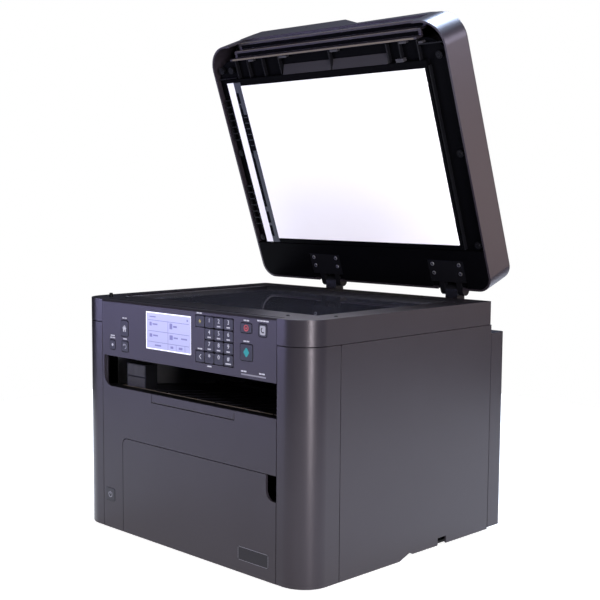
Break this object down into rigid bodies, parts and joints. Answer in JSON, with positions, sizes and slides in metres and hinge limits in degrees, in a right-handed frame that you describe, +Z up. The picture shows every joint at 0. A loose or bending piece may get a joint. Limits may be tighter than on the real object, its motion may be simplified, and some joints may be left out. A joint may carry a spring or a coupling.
{
  "type": "all-in-one desktop printer",
  "caption": "Desktop printer with flatbed scanner, tiltable control panel with keypad and screen, front paper door and a lid with a document feeder, lid standing open.",
  "frame": {"origin": "centre of the bounding box on the table, lid open", "axes": "+Z up, -Y towards the user (front), +X to the user's right"},
  "size_m": [0.39, 0.4002, 0.6452],
  "materials": {
    "housing": "fine spark-eroded texture, charcoal",
    "panel": "satin charcoal",
    "key_cap": "satin dark keys with printed symbols",
    "screen": "lit liquid crystal face",
    "black_inner": "black moulded plastic",
    "guide_grey": "grey moulded plastic",
    "steel": "zinc plated steel",
    "rubber": "ground rubber",
    "scan_glass": "clear float glass over a dark well",
    "white_sheet": "smooth white foam-backed sheet",
    "guide_bar": "slate blue bar beside a white strip",
    "board": "green circuit board"
  },
  "bodies": {
    "chassis": {"base_pan": "black_inner", "feet": "rubber", "front_cover": "housing", "corner_cover_left": "housing", "corner_cover_right": "housing", "side_cover_left": "housing", "side_cover_right": "housing", "rear_panel": "housing", "side_frames": "steel", "scanner_frame": "housing", "scanner_base": "black_inner", "scanner_glass": "scan_glass", "laser_unit": "black_inner", "fuser_unit": "black_inner", "toner_cartridge": "black_inner", "main_board": "board", "drive_motor": "steel", "rear_sockets": "black_inner", "hinge_sockets": "steel"},
    "lid": {"lid_shell": "housing", "lid_base": "black_inner", "platen_sheet": "white_sheet", "sheet_guide": "guide_bar", "lid_hinges": "steel"},
    "feeder_hood": {"feeder_cover": "housing"},
    "supply_tray": {"document_tray": "housing"},
    "doc_guide_front": {"document_guide_front": "housing"},
    "doc_guide_rear": {"document_guide_rear": "housing"},
    "panel": {"operation_panel": "panel", "lcd_screen": "screen"},
    "toner_lid": {"toner_cover": "housing"},
    "stopper": {"paper_stopper": "housing"},
    "door": {"front_door": "housing"},
    "width_guide_left": {"paper_guide_left": "guide_grey"},
    "width_guide_right": {"paper_guide_right": "guide_grey"},
    "pick_roll": {"pickup_roller": "rubber"},
    "exit_roll": {"exit_roller": "rubber"},
    "jam_door": {"rear_cover": "housing"},
    "power_key": {"power_button": "housing"},
    "carriage": {"scan_carriage": "black_inner"},
    "cap_home": {"key_home": "key_cap"},
    "cap_back": {"key_back": "key_cap"},
    "cap_status": {"key_status": "key_cap"},
    "cap_stop": {"key_stop": "key_cap"},
    "cap_energy": {"key_energy": "key_cap"},
    "cap_start": {"key_start": "key_cap"},
    "cap_reset": {"key_reset": "key_cap"},
    "cap_1": {"key_1": "key_cap"},
    "cap_2": {"key_2": "key_cap"},
    "cap_3": {"key_3": "key_cap"},
    "cap_4": {"key_4": "key_cap"},
    "cap_5": {"key_5": "key_cap"},
    "cap_6": {"key_6": "key_cap"},
    "cap_7": {"key_7": "key_cap"},
    "cap_8": {"key_8": "key_cap"},
    "cap_9": {"key_9": "key_cap"},
    "cap_clear": {"key_clear": "key_cap"},
    "cap_star": {"key_star": "key_cap"},
    "cap_0": {"key_0": "key_cap"},
    "cap_hash": {"key_hash": "key_cap"}
  },
  "joints": [
    {"name": "lid_hinge", "type": "hinge", "parent": "chassis", "child": "lid", "pos_m": [0, 0.1397, 0.3008], "axis": [1, 0, 0], "range_deg": [0, 70]},
    {"name": "feeder_hood_hinge", "type": "hinge", "parent": "lid", "child": "feeder_hood", "pos_m": [-0.168, 0.12773, 0.498], "axis": [0, -0.342, 0.9397], "range_deg": [0, 75]},
    {"name": "supply_tray_hinge", "type": "hinge", "parent": "lid", "child": "supply_tray", "pos_m": [-0.07, 0.13008, 0.49885], "axis": [0, -0.342, 0.9397], "range_deg": [0, 40]},
    {"name": "doc_guide_front_slide", "type": "slide", "parent": "supply_tray", "child": "doc_guide_front", "axis": [0, 0.342, -0.9397], "range_m": [0, 0.08]},
    {"name": "doc_guide_rear_slide", "type": "slide", "parent": "supply_tray", "child": "doc_guide_rear", "axis": [0, -0.342, 0.9397], "range_m": [0, 0.08]},
    {"name": "panel_tilt", "type": "hinge", "parent": "chassis", "child": "panel", "pos_m": [0, -0.1947, 0.2864], "axis": [-1, 0, 0], "range_deg": [0, 30]},
    {"name": "toner_lid_hinge", "type": "hinge", "parent": "chassis", "child": "toner_lid", "pos_m": [0, -0.0012, 0.1645], "axis": [-1, 0, 0], "range_deg": [0, 12]},
    {"name": "stopper_fold", "type": "hinge", "parent": "chassis", "child": "stopper", "pos_m": [0, -0.1985, 0.1747], "axis": [1, 0, 0], "range_deg": [0, 105]},
    {"name": "door_fold", "type": "hinge", "parent": "chassis", "child": "door", "pos_m": [0, -0.1947, 0.008], "axis": [1, 0, 0], "range_deg": [0, 88]},
    {"name": "width_guide_left_slide", "type": "slide", "parent": "chassis", "child": "width_guide_left", "axis": [1, 0, 0], "range_m": [0, 0.065]},
    {"name": "width_guide_right_slide", "type": "slide", "parent": "chassis", "child": "width_guide_right", "axis": [-1, 0, 0], "range_m": [0, 0.065]},
    {"name": "pick_roll_spin", "type": "hinge", "parent": "chassis", "child": "pick_roll", "pos_m": [0, -0.0497, 0.062], "axis": [1, 0, 0], "continuous": true},
    {"name": "exit_roll_spin", "type": "hinge", "parent": "chassis", "child": "exit_roll", "pos_m": [0, 0.0143, 0.204], "axis": [1, 0, 0], "continuous": true},
    {"name": "jam_door_fold", "type": "hinge", "parent": "chassis", "child": "jam_door", "pos_m": [0, 0.1558, 0.063], "axis": [-1, 0, 0], "range_deg": [0, 85]},
    {"name": "power_press", "type": "slide", "parent": "chassis", "child": "power_key", "axis": [0, 1, 0], "range_m": [0, 0.0012], "stiffness_N_per_m": 600, "springref_m": -0.0006},
    {"name": "carriage_travel", "type": "slide", "parent": "chassis", "child": "carriage", "axis": [1, 0, 0], "range_m": [0, 0.318]},
    {"name": "press_home", "type": "slide", "parent": "panel", "child": "cap_home", "axis": [0, 1, 0], "range_m": [0, 0.001], "stiffness_N_per_m": 500, "springref_m": -0.0006},
    {"name": "press_back", "type": "slide", "parent": "panel", "child": "cap_back", "axis": [0, 1, 0], "range_m": [0, 0.001], "stiffness_N_per_m": 500, "springref_m": -0.0006},
    {"name": "press_status", "type": "slide", "parent": "panel", "child": "cap_status", "axis": [0, 1, 0], "range_m": [0, 0.001], "stiffness_N_per_m": 500, "springref_m": -0.0006},
    {"name": "press_stop", "type": "slide", "parent": "panel", "child": "cap_stop", "axis": [0, 1, 0], "range_m": [0, 0.001], "stiffness_N_per_m": 500, "springref_m": -0.0006},
    {"name": "press_energy", "type": "slide", "parent": "panel", "child": "cap_energy", "axis": [0, 1, 0], "range_m": [0, 0.001], "stiffness_N_per_m": 500, "springref_m": -0.0006},
    {"name": "press_start", "type": "slide", "parent": "panel", "child": "cap_start", "axis": [0, 1, 0], "range_m": [0, 0.001], "stiffness_N_per_m": 500, "springref_m": -0.0006},
    {"name": "press_reset", "type": "slide", "parent": "panel", "child": "cap_reset", "axis": [0, 1, 0], "range_m": [0, 0.001], "stiffness_N_per_m": 500, "springref_m": -0.0006},
    {"name": "press_1", "type": "slide", "parent": "panel", "child": "cap_1", "axis": [0, 1, 0], "range_m": [0, 0.001], "stiffness_N_per_m": 500, "springref_m": -0.0006},
    {"name": "press_2", "type": "slide", "parent": "panel", "child": "cap_2", "axis": [0, 1, 0], "range_m": [0, 0.001], "stiffness_N_per_m": 500, "springref_m": -0.0006},
    {"name": "press_3", "type": "slide", "parent": "panel", "child": "cap_3", "axis": [0, 1, 0], "range_m": [0, 0.001], "stiffness_N_per_m": 500, "springref_m": -0.0006},
    {"name": "press_4", "type": "slide", "parent": "panel", "child": "cap_4", "axis": [0, 1, 0], "range_m": [0, 0.001], "stiffness_N_per_m": 500, "springref_m": -0.0006},
    {"name": "press_5", "type": "slide", "parent": "panel", "child": "cap_5", "axis": [0, 1, 0], "range_m": [0, 0.001], "stiffness_N_per_m": 500, "springref_m": -0.0006},
    {"name": "press_6", "type": "slide", "parent": "panel", "child": "cap_6", "axis": [0, 1, 0], "range_m": [0, 0.001], "stiffness_N_per_m": 500, "springref_m": -0.0006},
    {"name": "press_7", "type": "slide", "parent": "panel", "child": "cap_7", "axis": [0, 1, 0], "range_m": [0, 0.001], "stiffness_N_per_m": 500, "springref_m": -0.0006},
    {"name": "press_8", "type": "slide", "parent": "panel", "child": "cap_8", "axis": [0, 1, 0], "range_m": [0, 0.001], "stiffness_N_per_m": 500, "springref_m": -0.0006},
    {"name": "press_9", "type": "slide", "parent": "panel", "child": "cap_9", "axis": [0, 1, 0], "range_m": [0, 0.001], "stiffness_N_per_m": 500, "springref_m": -0.0006},
    {"name": "press_clear", "type": "slide", "parent": "panel", "child": "cap_clear", "axis": [0, 1, 0], "range_m": [0, 0.001], "stiffness_N_per_m": 500, "springref_m": -0.0006},
    {"name": "press_star", "type": "slide", "parent": "panel", "child": "cap_star", "axis": [0, 1, 0], "range_m": [0, 0.001], "stiffness_N_per_m": 500, "springref_m": -0.0006},
    {"name": "press_0", "type": "slide", "parent": "panel", "child": "cap_0", "axis": [0, 1, 0], "range_m": [0, 0.001], "stiffness_N_per_m": 500, "springref_m": -0.0006},
    {"name": "press_hash", "type": "slide", "parent": "panel", "child": "cap_hash", "axis": [0, 1, 0], "range_m": [0, 0.001], "stiffness_N_per_m": 500, "springref_m": -0.0006}
  ],
  "couplings": [
    {"joint": "doc_guide_rear_slide", "follows": "doc_guide_front_slide", "ratio": 1},
    {"joint": "width_guide_left_slide", "follows": "width_guide_right_slide", "ratio": 1},
    {"joint": "exit_roll_spin", "follows": "pick_roll_spin", "ratio": -2}
  ]
}
